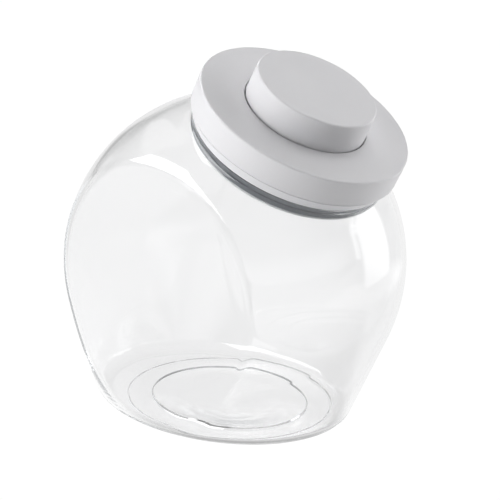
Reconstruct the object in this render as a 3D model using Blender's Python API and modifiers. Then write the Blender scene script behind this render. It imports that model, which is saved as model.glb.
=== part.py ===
"""Pop-top storage container: a clear slant-mouthed jar with a press-button sealing lid.

Metres, +Z up.  The origin is on the surface the jar stands on, under the middle
of its outline.  +X is the way the mouth leans.  The lid is built upright around
its own axis and hung on the empty 'lid_axis', which sits at the middle of the
lid's top face and leans forward by LID_TILT.
Heights inside the lid are negative: they run down from that top face.
"""
import math

import bmesh
import bpy
import numpy as np
from mathutils import Matrix, Vector

MM = 0.001

# ---------------------------------------------------------------- jar body
LID_TILT = math.radians(28.36)      # lean of the mouth and the lid
GLOBE_X = -2.86 * MM                # centre of the globe
GLOBE_Z = 99.25 * MM
GLOBE_R = 111.41 * MM               # globe radius across the lid axis
GLOBE_RA = 113.84 * MM              # globe radius along the lid axis
WALL = 3.0 * MM                     # wall of the jar
GRIP_HALF = 77.53 * MM              # half width between the two grip flats, at the globe's middle
GRIP_DRAFT = math.radians(1.5)      # the flats close in towards the base
FOOT_X = -15.06 * MM                # middle of the oval foot
FOOT_A = 84.84 * MM                 # half length and half width of the foot's centre line
FOOT_B = 63.42 * MM
FOOT_ROUND = 11.87 * MM             # rounding of the foot
PUNT_X = -7.73 * MM                 # raised oval under the base
PUNT_A = 55.68 * MM
PUNT_B = 45.37 * MM
PUNT_DEPTH = 3.0 * MM
NECK_R = 63.6 * MM                  # outside of the neck
MOUTH_R = 61.3 * MM                 # bore of the neck
RIM_Z = -25.84 * MM                 # top of the neck, below the lid's top face
GLOBE_STEPS = 44
GLOBE_RINGS = 22

# ---------------------------------------------------------------- lid
LID_RISE = 122.01 * MM              # globe centre to the lid's top face, along the axis
LID_R = 68.0 * MM
LID_R_LOW = 68.17 * MM
BAND_Z = -16.79 * MM                # bottom edge of the cover
LIP_R = 63.62 * MM                  # tapered lip under the cover
LIP_Z = -25.54 * MM
HOLE_R = 41.3 * MM                  # hole for the button
COVER_T = 2.6 * MM
BUTTON_R = 38.61 * MM               # top of the button
BUTTON_R_LOW = 40.8 * MM            # bottom of its side
BUTTON_TOP = 18.29 * MM             # how far the raised button stands above the lid
BUTTON_TRAVEL = 17.0 * MM
FLANGE_R = 42.5 * MM                # ring that keeps the button in
WELL_R = 43.0 * MM                  # well that the ring slides in
FLOOR_Z = -28.0 * MM                # floor of the mechanism
FLOOR_T = 1.6 * MM
CUP_R = 55.5 * MM                   # cup that carries the gasket
GASKET_R = 60.9 * MM
GASKET_TOP = -25.9 * MM
GASKET_LOW = -32.9 * MM
PLATE_R = 59.5 * MM                 # plate that squeezes the gasket
PLATE_TOP = -33.2 * MM
PLATE_T = 2.2 * MM
PLATE_LIFT = 2.0 * MM

# ---------------------------------------------------------------- mechanism
LEVERS = 4
PIVOT_R = 28.0 * MM                 # lever pivots, from the lid axis
PIVOT_Z = -17.7 * MM
ARM = 16.5 * MM                     # pivot to tip
TIP_R = 1.5 * MM
SWING = math.asin(0.5 * BUTTON_TRAVEL / ARM)         # either side of level
CAM_OFFSET = 0.5 * PLATE_LIFT / math.sin(SWING)      # eccentric that lifts the plate
CAM_R = 4.7 * MM
LEVER_W = 5.0 * MM
PIN_R = 1.25 * MM
PIN_HOLE_R = 1.55 * MM
EAR_IN = 2.9 * MM
EAR_OUT = 4.9 * MM
SLEEVE_R = 7.8 * MM
SLEEVE_BORE = 6.4 * MM
RIB_R = 5.0 * MM
SPRING_R = 4.1 * MM
SPRING_WIRE = 0.45 * MM
SPRING_TURNS = 5.0

WHITE = (0.83, 0.83, 0.84)
CLEAR = (0.93, 0.95, 0.95)
SILICONE = (0.16, 0.18, 0.20)
INNER = (0.74, 0.75, 0.75)
ACETAL = (0.60, 0.62, 0.64)
STEEL = (0.62, 0.62, 0.63)

for old in list(bpy.data.objects):
    bpy.data.objects.remove(old, do_unlink=True)


def collection(name):
    coll = bpy.data.collections.new(name)
    bpy.context.scene.collection.children.link(coll)
    return coll


PARTS = collection("pop_top_container")
CUTTERS = collection("cutters")


def material(name, rgb, rough, metallic=0.0, clear=0.0):
    mat = bpy.data.materials.new(name)
    mat.use_nodes = True
    bsdf = mat.node_tree.nodes["Principled BSDF"]
    bsdf.inputs["Base Color"].default_value = (*rgb, 1.0)
    bsdf.inputs["Roughness"].default_value = rough
    bsdf.inputs["Metallic"].default_value = metallic
    bsdf.inputs["Transmission Weight"].default_value = clear
    mat.diffuse_color = (*rgb, 1.0 if not clear else 0.35)
    return mat


M_CLEAR = material("clear_plastic", CLEAR, 0.04, clear=1.0)
M_WHITE = material("white_plastic", WHITE, 0.38)
M_INNER = material("inner_plastic", INNER, 0.5)
M_ACETAL = material("grey_acetal", ACETAL, 0.45)
M_SILICONE = material("grey_silicone", SILICONE, 0.55)
M_STEEL = material("stainless_steel", STEEL, 0.25, metallic=1.0)


def add(name, mesh, mat, coll=PARTS, smooth=30.0):
    """Object for a mesh, shaded smooth except over sharp edges."""
    obj = bpy.data.objects.new(name, mesh)
    coll.objects.link(obj)
    if mat is not None:
        mesh.materials.clear()
        mesh.materials.append(mat)
    if smooth:
        mesh.shade_smooth()
        mesh.set_sharp_from_angle(angle=math.radians(smooth))
    return obj


def evaluated(obj, face_out=False):
    """The object's mesh with its modifiers applied."""
    deps = bpy.context.evaluated_depsgraph_get()
    deps.update()
    mesh = bpy.data.meshes.new_from_object(obj.evaluated_get(deps))
    bm = bmesh.new()
    bm.from_mesh(mesh)
    bmesh.ops.remove_doubles(bm, verts=bm.verts, dist=1e-6)
    bmesh.ops.dissolve_degenerate(bm, edges=bm.edges, dist=1e-6)
    if face_out:
        bmesh.ops.recalc_face_normals(bm, faces=bm.faces)
    bm.to_mesh(mesh)
    bm.free()
    return mesh


def replace_mesh(obj, smooth=30.0):
    """Bakes an object's modifiers into its mesh."""
    mesh = evaluated(obj)
    mats = [m for m in obj.data.materials]
    obj.modifiers.clear()
    obj.data = mesh
    mesh.materials.clear()
    for m in mats:
        mesh.materials.append(m)
    if smooth:
        mesh.shade_smooth()
        mesh.set_sharp_from_angle(angle=math.radians(smooth))


def cutter(name, mesh):
    obj = add(name, mesh, None, coll=CUTTERS, smooth=0)
    obj.hide_render = True
    obj.display_type = "WIRE"
    return obj


def boolean(obj, other, operation):
    mod = obj.modifiers.new(operation.lower(), "BOOLEAN")
    mod.operation = operation
    mod.solver = "EXACT"
    mod.object = other
    replace_mesh(obj)


def turned_mesh(name, profile, steps):
    """Body of revolution about Z.  The profile (r, z) runs out along the top,
    down the outer side, in along the bottom and up the inner side.  It is a
    closed loop, unless both its ends lie on the axis."""
    closed = not (profile[0][0] == 0 and profile[-1][0] == 0)
    mesh = bpy.data.meshes.new(name)
    verts = [(r, 0.0, z) for r, z in profile]
    edges = [(i, i + 1) for i in range(len(verts) - 1)]
    if closed:
        edges.append((len(verts) - 1, 0))
    mesh.from_pydata(verts, edges, [])
    obj = bpy.data.objects.new(name + "_profile", mesh)
    CUTTERS.objects.link(obj)
    mod = obj.modifiers.new("turn", "SCREW")
    mod.axis = "Z"
    mod.angle = 2.0 * math.pi
    mod.steps = steps
    mod.render_steps = steps
    mod.use_merge_vertices = True
    mod.merge_threshold = 1e-6
    out = evaluated(obj, face_out=True)
    out.name = name
    bpy.data.objects.remove(obj, do_unlink=True)
    return out


def prism_mesh(name, outline, width, at=(0.0, 0.0, 0.0), turn=0.0):
    """Outline in the (x, z) plane, thickened evenly either side along y, moved
    to 'at' and turned about Z."""
    bm = bmesh.new()
    verts = [bm.verts.new((x, -width / 2, z)) for x, z in outline]
    face = bm.faces.new(verts)
    out = bmesh.ops.extrude_face_region(bm, geom=[face])
    moved = [v for v in out["geom"] if isinstance(v, bmesh.types.BMVert)]
    bmesh.ops.translate(bm, vec=(0.0, width, 0.0), verts=moved)
    bmesh.ops.recalc_face_normals(bm, faces=bm.faces)
    bmesh.ops.translate(bm, vec=at, verts=bm.verts)
    bmesh.ops.rotate(bm, cent=(0, 0, 0), matrix=Matrix.Rotation(turn, 3, "Z"), verts=bm.verts)
    mesh = bpy.data.meshes.new(name)
    bm.to_mesh(mesh)
    bm.free()
    return mesh


def merged_mesh(name, meshes):
    """Several closed bodies in one mesh, to use as one cutter."""
    bm = bmesh.new()
    for m in meshes:
        bm.from_mesh(m)
    mesh = bpy.data.meshes.new(name)
    bm.to_mesh(mesh)
    bm.free()
    return mesh


def rod_mesh(name, radius, length, steps):
    """Cylinder along Y, centred."""
    bm = bmesh.new()
    bmesh.ops.create_cone(bm, cap_ends=True, segments=steps, radius1=radius, radius2=radius, depth=length)
    bmesh.ops.rotate(bm, cent=(0, 0, 0), matrix=Matrix.Rotation(math.pi / 2, 3, "X"), verts=bm.verts)
    mesh = bpy.data.meshes.new(name)
    bm.to_mesh(mesh)
    bm.free()
    return mesh


def oval_mesh(name, cx, a, b, z0, z1, steps):
    """Upright oval plug."""
    bm = bmesh.new()
    bmesh.ops.create_cone(bm, cap_ends=True, segments=steps, radius1=1.0, radius2=1.0, depth=z1 - z0)
    bmesh.ops.scale(bm, vec=(a, b, 1.0), verts=bm.verts)
    bmesh.ops.translate(bm, vec=(cx, 0.0, 0.5 * (z0 + z1)), verts=bm.verts)
    mesh = bpy.data.meshes.new(name)
    bm.to_mesh(mesh)
    bm.free()
    return mesh


# ---------------------------------------------------------------- the lid's frame
AXIS = Vector((math.sin(LID_TILT), 0.0, math.cos(LID_TILT)))
GLOBE = Vector((GLOBE_X, 0.0, GLOBE_Z))
LID_ORIGIN = GLOBE + AXIS * LID_RISE

lid_axis = bpy.data.objects.new("lid_axis", None)
PARTS.objects.link(lid_axis)
lid_axis.location = LID_ORIGIN
lid_axis.rotation_euler = (0.0, LID_TILT, 0.0)
lid_axis.empty_display_size = 0.05


def hang(obj, location=(0, 0, 0), rotation=(0, 0, 0)):
    """Puts an object in the lid's frame."""
    obj.parent = lid_axis
    obj.location = location
    obj.rotation_euler = rotation
    return obj


# ---------------------------------------------------------------- jar body
def globe_points(bm, inset):
    """Globe about the lid axis, cut back to the two grip flats and off the floor."""
    made = bmesh.ops.create_uvsphere(bm, u_segments=GLOBE_STEPS, v_segments=GLOBE_RINGS, radius=1.0)["verts"]
    bmesh.ops.scale(bm, vec=(GLOBE_R - inset, GLOBE_R - inset, GLOBE_RA - inset), verts=made)
    bmesh.ops.rotate(bm, cent=(0, 0, 0), matrix=Matrix.Rotation(LID_TILT, 3, "Y"), verts=made)
    bmesh.ops.translate(bm, vec=GLOBE, verts=made)
    for side in (-1.0, 1.0):
        normal = Vector((0.0, side * math.cos(GRIP_DRAFT), -math.sin(GRIP_DRAFT)))
        point = Vector((0.0, side * (GRIP_HALF - inset), GLOBE_Z))
        geom = bm.verts[:] + bm.edges[:] + bm.faces[:]
        bmesh.ops.bisect_plane(bm, geom=geom, plane_co=point, plane_no=normal, clear_outer=True)
    geom = bm.verts[:] + bm.edges[:] + bm.faces[:]
    bmesh.ops.bisect_plane(bm, geom=geom, plane_co=(0, 0, FOOT_ROUND), plane_no=(0, 0, -1), clear_outer=True)


def foot_points(bm, inset):
    """Outer and lower side of the rounded oval ring the jar stands on."""
    for t in np.linspace(0.0, 2.0 * math.pi, 56, endpoint=False):
        x, y = FOOT_A * math.cos(t), FOOT_B * math.sin(t)
        n = Vector((x / FOOT_A ** 2, y / FOOT_B ** 2, 0.0)).normalized()
        for b in np.radians([-90.0, -64.0, -38.0, -12.0, 14.0]):
            r = (FOOT_ROUND - inset) * math.cos(b)
            z = FOOT_ROUND + (FOOT_ROUND - inset) * math.sin(b)
            bm.verts.new((FOOT_X + x + n.x * r, y + n.y * r, z))


def shell_mesh(name, inset):
    """Skin stretched over the globe and the foot."""
    bm = bmesh.new()
    globe_points(bm, inset)
    foot_points(bm, inset)
    places = [v.co.copy() for v in bm.verts]
    bm.clear()
    for place in places:
        bm.verts.new(place)
    out = bmesh.ops.convex_hull(bm, input=bm.verts[:], use_existing_faces=False)
    gone = {g for key in ("geom_interior", "geom_unused") for g in out[key] if isinstance(g, bmesh.types.BMVert)}
    bmesh.ops.delete(bm, geom=list(gone), context="VERTS")
    bmesh.ops.dissolve_limit(bm, angle_limit=math.radians(0.05), verts=bm.verts[:], edges=bm.edges[:])
    bmesh.ops.triangulate(bm, faces=[f for f in bm.faces if len(f.verts) > 4])
    bmesh.ops.recalc_face_normals(bm, faces=bm.faces[:])
    mesh = bpy.data.meshes.new(name)
    bm.to_mesh(mesh)
    bm.free()
    return mesh


jar = add("jar_body", shell_mesh("jar_body", 0.0), M_CLEAR)

neck = cutter("neck_form", turned_mesh("neck_form", [
    (0, RIM_Z), (62.9 * MM, RIM_Z), (NECK_R, RIM_Z - 0.7 * MM), (NECK_R, -27.0 * MM), (64.2 * MM, -28.4 * MM),
    (65.5 * MM, -29.6 * MM), (67.3 * MM, -31.0 * MM), (67.3 * MM, -40.0 * MM), (0, -40.0 * MM)], 64))
hang(neck)
boolean(jar, neck, "UNION")

cavity = cutter("cavity_form", shell_mesh("cavity_form", WALL))
platform = cutter("platform_form", oval_mesh(
    "platform_form", PUNT_X, PUNT_A + WALL, PUNT_B + WALL, -0.01, WALL + PUNT_DEPTH, 56))
boolean(cavity, platform, "DIFFERENCE")
boolean(jar, cavity, "DIFFERENCE")

bore = cutter("bore_form", turned_mesh("bore_form", [
    (0, 5.0 * MM), (MOUTH_R + 0.5 * MM, 5.0 * MM), (MOUTH_R + 0.5 * MM, RIM_Z), (MOUTH_R, RIM_Z - 0.6 * MM),
    (MOUTH_R, -42.0 * MM), (0, -42.0 * MM)], 64))
hang(bore)
boolean(jar, bore, "DIFFERENCE")

punt = cutter("punt_form", oval_mesh("punt_form", PUNT_X, PUNT_A, PUNT_B, -0.01, PUNT_DEPTH, 56))
boolean(jar, punt, "DIFFERENCE")

# ---------------------------------------------------------------- lid shells
cover = add("lid_cover", turned_mesh("lid_cover", [
    (HOLE_R + 0.4 * MM, 0), (LID_R - 0.9 * MM, 0), (LID_R - 0.25 * MM, -0.3 * MM), (LID_R, -1.0 * MM),
    (LID_R_LOW, BAND_Z + 0.3 * MM), (LID_R_LOW - 0.3 * MM, BAND_Z), (65.9 * MM, BAND_Z), (65.9 * MM, -3.4 * MM),
    (65.1 * MM, -COVER_T), (HOLE_R, -COVER_T), (HOLE_R, -0.4 * MM)], 64), M_WHITE)
hang(cover)

chassis = add("lid_chassis", turned_mesh("lid_chassis", [
    (0, FLOOR_Z), (WELL_R, FLOOR_Z), (WELL_R, -3.0 * MM), (WELL_R + 2.0 * MM, -3.0 * MM),
    (WELL_R + 2.0 * MM, FLOOR_Z), (CUP_R - 2.0 * MM, FLOOR_Z), (CUP_R - 2.0 * MM, -24.0 * MM),
    (61.6 * MM, -24.0 * MM), (63.9 * MM, -18.6 * MM), (63.9 * MM, -12.0 * MM), (65.6 * MM, -12.0 * MM),
    (65.6 * MM, -17.1 * MM), (LID_R - 0.1 * MM, -17.1 * MM), (LIP_R + 0.2 * MM, LIP_Z + 0.4 * MM),
    (LIP_R - 0.3 * MM, LIP_Z), (CUP_R, LIP_Z), (CUP_R, FLOOR_Z - FLOOR_T), (0, FLOOR_Z - FLOOR_T)], 48), M_INNER)

quarter = [i * 2.0 * math.pi / LEVERS for i in range(LEVERS)]
ears = []
for turn in quarter:
    for side in (-1.0, 1.0):
        ears.append(prism_mesh("ear", [
            (25.2 * MM, FLOOR_Z - 0.8 * MM), (30.8 * MM, FLOOR_Z - 0.8 * MM), (30.8 * MM, -16.2 * MM),
            (29.4 * MM, -14.7 * MM), (26.6 * MM, -14.7 * MM), (25.2 * MM, -16.2 * MM)],
            EAR_OUT - EAR_IN, (0, side * 0.5 * (EAR_OUT + EAR_IN), 0), turn))
ear_form = cutter("ear_form", merged_mesh("ear_form", ears))
boolean(chassis, ear_form, "UNION")

windows = [prism_mesh("window", [
    (28.4 * MM, -31.0 * MM), (37.2 * MM, -31.0 * MM), (37.2 * MM, -26.5 * MM), (28.4 * MM, -26.5 * MM)],
    5.4 * MM, (0, 0, 0), turn) for turn in quarter]
eyes = []
for turn in quarter:
    eye = rod_mesh("eye", PIN_HOLE_R, 14.0 * MM, 16)
    eye.transform(Matrix.Rotation(turn, 4, "Z") @ Matrix.Translation((PIVOT_R, 0, PIVOT_Z)))
    eyes.append(eye)
boolean(chassis, cutter("window_form", merged_mesh("window_form", windows)), "DIFFERENCE")
boolean(chassis, cutter("eye_form", merged_mesh("eye_form", eyes)), "DIFFERENCE")
hang(chassis)

gasket = add("seal_gasket", turned_mesh("seal_gasket", [
    (55.8 * MM, GASKET_TOP), (60.4 * MM, GASKET_TOP), (GASKET_R, -26.4 * MM), (GASKET_R, -27.7 * MM),
    (60.3 * MM, -28.1 * MM), (60.3 * MM, -29.3 * MM), (GASKET_R, -29.7 * MM), (GASKET_R, -32.2 * MM),
    (60.2 * MM, GASKET_LOW), (55.8 * MM, GASKET_LOW)], 48), M_SILICONE)
hang(gasket)

plate = add("draw_plate", turned_mesh("draw_plate", [
    (0, PLATE_TOP), (PLATE_R - 0.5 * MM, PLATE_TOP), (PLATE_R, PLATE_TOP - 0.5 * MM),
    (PLATE_R, PLATE_TOP - 1.3 * MM), (PLATE_R - 1.1 * MM, PLATE_TOP - PLATE_T), (0, PLATE_TOP - PLATE_T)],
    48), M_INNER)
hooks = [prism_mesh("hook", [
    (35.0 * MM, -34.2 * MM), (36.6 * MM, -34.2 * MM), (36.6 * MM, -12.2 * MM), (28.9 * MM, -12.2 * MM),
    (28.9 * MM, -13.7 * MM), (35.0 * MM, -13.7 * MM)], 4.6 * MM, (0, 0, 0), turn) for turn in quarter]
boolean(plate, cutter("hook_form", merged_mesh("hook_form", hooks)), "UNION")
hang(plate)

# ---------------------------------------------------------------- button
button = add("button_cap", turned_mesh("button_cap", [
    (0, BUTTON_TOP), (BUTTON_R - 0.8 * MM, BUTTON_TOP), (BUTTON_R - 0.2 * MM, BUTTON_TOP - 0.25 * MM),
    (BUTTON_R, BUTTON_TOP - 0.9 * MM), (BUTTON_R_LOW, -2.9 * MM), (FLANGE_R, -2.9 * MM), (FLANGE_R, -4.3 * MM),
    (38.4 * MM, -4.3 * MM), (36.4 * MM, BUTTON_TOP - 2.5 * MM), (0, BUTTON_TOP - 2.5 * MM)], 64), M_WHITE)
hang(button)

plunger = add("button_plunger", turned_mesh("button_plunger", [
    (0, 15.5 * MM), (20.0 * MM, 15.5 * MM), (20.0 * MM, 14.0 * MM), (9.4 * MM, 14.0 * MM), (9.4 * MM, -5.9 * MM),
    (14.4 * MM, -5.9 * MM), (14.4 * MM, -7.3 * MM), (8.2 * MM, -7.3 * MM), (8.2 * MM, 14.0 * MM),
    (4.4 * MM, 14.0 * MM), (4.4 * MM, -2.2 * MM), (2.4 * MM, -2.2 * MM), (2.4 * MM, 14.0 * MM), (0, 14.0 * MM)],
    32), M_INNER)
notches = []
for turn in quarter:
    notch = prism_mesh("notch", [(-1.2 * MM, -3.0 * MM), (1.2 * MM, -3.0 * MM), (1.2 * MM, -2.2 * MM),
                                 (-1.2 * MM, -0.9 * MM)], 3.2 * MM)
    notch.transform(Matrix.Rotation(turn, 4, "Z") @ Matrix.Translation((3.6 * MM, 0, 0))
                    @ Matrix.Rotation(math.pi / 2, 4, "Z"))
    notches.append(notch)
boolean(plunger, cutter("notch_form", merged_mesh("notch_form", notches)), "DIFFERENCE")
hang(plunger)

# ---------------------------------------------------------------- latch
sleeve = add("latch_sleeve", turned_mesh("latch_sleeve", [
    (SLEEVE_BORE, -3.4 * MM), (SLEEVE_R, -3.4 * MM), (SLEEVE_R, -26.4 * MM), (10.0 * MM, -26.4 * MM),
    (10.0 * MM, -27.7 * MM), (SLEEVE_BORE, -27.7 * MM)], 32), M_INNER)
ribs = []
for turn in quarter:
    rib = prism_mesh("rib", [(-1.4 * MM, -7.5 * MM), (1.4 * MM, -7.5 * MM), (1.4 * MM, -18.6 * MM),
                             (-1.4 * MM, -17.2 * MM)], 1.9 * MM)
    rib.transform(Matrix.Rotation(turn + math.pi / 4, 4, "Z") @ Matrix.Translation((RIB_R + 0.95 * MM, 0, 0))
                  @ Matrix.Rotation(math.pi / 2, 4, "Z"))
    ribs.append(rib)
boolean(sleeve, cutter("rib_form", merged_mesh("rib_form", ribs)), "UNION")
hang(sleeve)

rotor = add("latch_rotor", turned_mesh("latch_rotor", [
    (0, 1.0 * MM), (2.0 * MM, 1.0 * MM), (2.0 * MM, -2.5 * MM), (4.4 * MM, -2.5 * MM), (4.4 * MM, -5.5 * MM),
    (2.8 * MM, -5.5 * MM), (2.8 * MM, -7.5 * MM), (0, -7.5 * MM)], 24), M_ACETAL)
fins = []
for turn in quarter:
    fin = prism_mesh("fin", [(-1.3 * MM, -5.5 * MM), (1.3 * MM, -5.5 * MM), (1.3 * MM, -4.2 * MM),
                             (-1.3 * MM, -2.8 * MM)], 2.5 * MM)
    fin.transform(Matrix.Rotation(turn, 4, "Z") @ Matrix.Translation((4.85 * MM, 0, 0))
                  @ Matrix.Rotation(math.pi / 2, 4, "Z"))
    fins.append(fin)
boolean(rotor, cutter("fin_form", merged_mesh("fin_form", fins)), "UNION")
hang(rotor)

# ---------------------------------------------------------------- return spring
coil = bpy.data.curves.new("return_spring", "CURVE")
coil.dimensions = "3D"
coil.bevel_depth = SPRING_WIRE
coil.bevel_resolution = 2
coil.use_fill_caps = True
turns_pts = int(SPRING_TURNS * 12) + 1
line = coil.splines.new("POLY")
line.points.add(turns_pts - 1)
z_top, z_low = -6.3 * MM, -27.2 * MM
for i in range(turns_pts):
    s = i / (turns_pts - 1)
    a = 2.0 * math.pi * SPRING_TURNS * s
    line.points[i].co = (SPRING_R * math.cos(a), SPRING_R * math.sin(a), z_top + (z_low - z_top) * s, 1.0)
coil_obj = bpy.data.objects.new("coil", coil)
CUTTERS.objects.link(coil_obj)
spring = add("return_spring", evaluated(coil_obj, face_out=True), M_STEEL, smooth=60)
bpy.data.objects.remove(coil_obj, do_unlink=True)
hang(spring)


# ---------------------------------------------------------------- levers and their pins
def lever_outline():
    pts = []
    open_half = math.asin(1.0 * MM / TIP_R)
    for a in np.linspace(open_half, 2.0 * math.pi - open_half, 13):
        pts.append((-ARM + TIP_R * math.cos(a), TIP_R * math.sin(a)))
    join = math.asin(1.8 * MM / CAM_R)
    for a in np.linspace(-math.pi + join, math.pi - join, 23):
        pts.append((CAM_OFFSET + CAM_R * math.cos(a), CAM_R * math.sin(a)))
    return pts


lever_form = add("lever_form", prism_mesh("lever", lever_outline(), LEVER_W), M_ACETAL, coll=CUTTERS)
boolean(lever_form, cutter("lever_eye", rod_mesh("lever_eye", PIN_HOLE_R, 8.0 * MM, 16)), "DIFFERENCE")
lever_mesh = lever_form.data
bpy.data.objects.remove(lever_form, do_unlink=True)
pin_mesh = rod_mesh("lever_pin", PIN_R, 9.6 * MM, 16)
for turn, side in zip(quarter, ("front", "far", "back", "near")):
    place = Vector((PIVOT_R * math.cos(turn), PIVOT_R * math.sin(turn), PIVOT_Z))
    lever = add("lift_lever_" + side, lever_mesh, M_ACETAL)
    hang(lever, place)
    lever.rotation_mode = "QUATERNION"
    lever.rotation_quaternion = (Matrix.Rotation(turn, 3, "Z") @ Matrix.Rotation(SWING, 3, "Y")).to_quaternion()
    pin = add("lever_pin_" + side, pin_mesh, M_STEEL)
    hang(pin, place, (0, 0, turn))

for obj in list(CUTTERS.objects):
    obj.hide_render = True
    obj.display_type = "WIRE"
bpy.context.view_layer.update()
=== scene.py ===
import math

import bmesh
import bpy
import numpy as np
from mathutils import Matrix, Vector


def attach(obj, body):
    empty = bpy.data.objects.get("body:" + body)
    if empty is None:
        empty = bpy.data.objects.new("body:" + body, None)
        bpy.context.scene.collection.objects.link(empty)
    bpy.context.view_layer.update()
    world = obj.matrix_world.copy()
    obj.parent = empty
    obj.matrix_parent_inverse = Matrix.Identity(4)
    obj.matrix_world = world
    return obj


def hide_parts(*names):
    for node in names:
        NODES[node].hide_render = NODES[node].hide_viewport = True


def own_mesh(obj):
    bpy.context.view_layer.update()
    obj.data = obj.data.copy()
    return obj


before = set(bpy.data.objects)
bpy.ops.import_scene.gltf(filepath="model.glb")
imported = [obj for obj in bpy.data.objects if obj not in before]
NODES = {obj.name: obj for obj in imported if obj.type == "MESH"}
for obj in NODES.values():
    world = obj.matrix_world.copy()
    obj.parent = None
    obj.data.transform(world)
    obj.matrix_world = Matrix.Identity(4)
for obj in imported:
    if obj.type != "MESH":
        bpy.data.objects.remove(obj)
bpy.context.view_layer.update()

# ------------------------------------------------------------------ sizes, in mm
TILT = math.radians(28.36)
AXIS = np.array([math.sin(TILT), 0.0, math.cos(TILT)])
SIDE_X = np.array([math.cos(TILT), 0.0, -math.sin(TILT)])
SIDE_Y = np.array([0.0, 1.0, 0.0])
GLOBE = np.array([-2.86, 0.0, 99.25])
RP, RA = 111.41, 113.84            # globe radius across and along the lid axis
WALL = 3.0
GRIP_HALF, GRIP_DRAFT = 77.53, math.tan(math.radians(1.5))
FOOT_X, FOOT_A, FOOT_B, FOOT_ROUND = -15.06, 84.84, 63.42, 11.87
PUNT_X, PUNT_A, PUNT_B, PUNT_DEPTH = -7.73, 55.68, 45.37, 3.0
HEEL_X, HEEL_A, HEEL_B = -7.9, 72.0, 62.2
NECK_R, MOUTH_R, RIM_Z = 63.6, 61.3, -24.7
LID_RISE = 122.01
LID = GLOBE + AXIS * LID_RISE
LID_M = Matrix.Translation(Vector(LID * 0.001)) @ Matrix.Rotation(TILT, 4, "Y")
SWING = math.asin(8.5 / 16.5)


# ------------------------------------------------------------------ mesh tools
def object_from(name, verts, faces, normals=None, matrix=None, smooth=True):
    mesh = bpy.data.meshes.new(name)
    mesh.from_pydata([tuple(v) for v in np.asarray(verts, float) * 0.001], [], faces)
    mesh.validate()
    if smooth:
        mesh.shade_smooth()
    if normals is not None:
        mesh.normals_split_custom_set_from_vertices([tuple(n) for n in normals])
    obj = bpy.data.objects.new(name, mesh)
    bpy.context.scene.collection.objects.link(obj)
    if matrix is not None:
        obj.matrix_world = matrix
    return obj


def rings(rows, first=None, last=None):
    """Vertices, faces and normals of a closed skin made of rings with equal counts.
    rows is a list of (points, normals); first and last are the end poles."""
    cols = len(rows[0][0])
    pts = [np.asarray(r[0], float) for r in rows]
    nrm = [np.asarray(r[1], float) for r in rows]
    verts, norms = np.concatenate(pts), np.concatenate(nrm)
    faces = []
    count = len(rows)
    nxt = [(j + 1) % cols for j in range(cols)]
    loops = range(count - 1) if first is not None else range(count)
    for i in loops:
        a, b = i * cols, ((i + 1) % count) * cols
        for j in range(cols):
            faces.append((a + j, a + nxt[j], b + nxt[j], b + j))
    if first is not None:
        p = len(verts)
        verts, norms = np.vstack([verts, first[0]]), np.vstack([norms, first[1]])
        faces += [(p, nxt[j], j) for j in range(cols)]
        q = len(verts)
        a = (count - 1) * cols
        verts, norms = np.vstack([verts, last[0]]), np.vstack([norms, last[1]])
        faces += [(a + j, a + nxt[j], q) for j in range(cols)]
    norms /= np.linalg.norm(norms, axis=1)[:, None]
    return verts, faces, norms


def rounded(corners, closed=True, turn=12.0):
    """(r, z, nr, nz) along a profile whose corners (r, z, radius) are rounded.
    The outside is on the left of the run: out along the bottom, up the outer side
    and in along the top, or the same loop read the other way when it goes down."""
    pts = []
    n = len(corners)
    for i, c in enumerate(corners):
        p = np.array(c[:2], float)
        if not closed and i in (0, n - 1):
            q = np.array(corners[1 if i == 0 else n - 2][:2], float)
            d = (q - p) if i == 0 else (p - q)
            d /= np.linalg.norm(d)
            pts.append((*p, d[1], -d[0]))
            continue
        a = np.array(corners[i - 1][:2], float)
        b = np.array(corners[(i + 1) % n][:2], float)
        d1, d2 = p - a, b - p
        l1, l2 = np.linalg.norm(d1), np.linalg.norm(d2)
        d1, d2 = d1 / l1, d2 / l2
        cross = d1[0] * d2[1] - d1[1] * d2[0]
        ang = math.atan2(cross, float(d1 @ d2))
        rad = max(c[2] if len(c) > 2 else 0.15, 0.03)
        cut = rad * math.tan(abs(ang) / 2)
        most = 0.49 * min(l1, l2)
        if cut > most:
            rad, cut = rad * most / cut, most
        s = p - d1 * cut
        side = np.array([-d1[1], d1[0]]) * (1 if ang > 0 else -1)
        mid = s + side * rad
        steps = max(2, int(math.ceil(abs(math.degrees(ang)) / turn)))
        for k in range(steps + 1):
            t = ang * k / steps
            ca, sa = math.cos(t), math.sin(t)
            off = s - mid
            pt = mid + np.array([off[0] * ca - off[1] * sa, off[0] * sa + off[1] * ca])
            d = np.array([d1[0] * ca - d1[1] * sa, d1[0] * sa + d1[1] * ca])
            pts.append((*pt, d[1], -d[0]))
    return pts


def turned(name, corners, segments=192, closed=True, turn=12.0, matrix=LID_M):
    """Body of revolution about the lid axis.  Corners run counter-clockwise in
    (r, z): out along the bottom, up the outer side, in along the top.  An open
    profile starts and ends on the axis."""
    prof = rounded(corners, closed, turn)
    ang = np.linspace(0, 2 * math.pi, segments, endpoint=False)
    ca, sa = np.cos(ang), np.sin(ang)
    rows, first, last = [], None, None
    if not closed:
        first = ((0, 0, prof[0][1]), (0, 0, prof[0][3]))
        last = ((0, 0, prof[-1][1]), (0, 0, prof[-1][3]))
        prof = prof[1:-1]
    for r, z, nr, nz in prof:
        rows.append((np.stack([r * ca, r * sa, np.full(segments, z)], 1),
                     np.stack([nr * ca, nr * sa, np.full(segments, nz)], 1)))
    verts, faces, norms = rings(rows, first, last)
    turn_m = np.array(matrix.to_3x3())
    verts = verts @ turn_m.T + np.array(matrix.translation) * 1000
    return object_from(name, verts, faces, norms @ turn_m.T)


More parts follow.
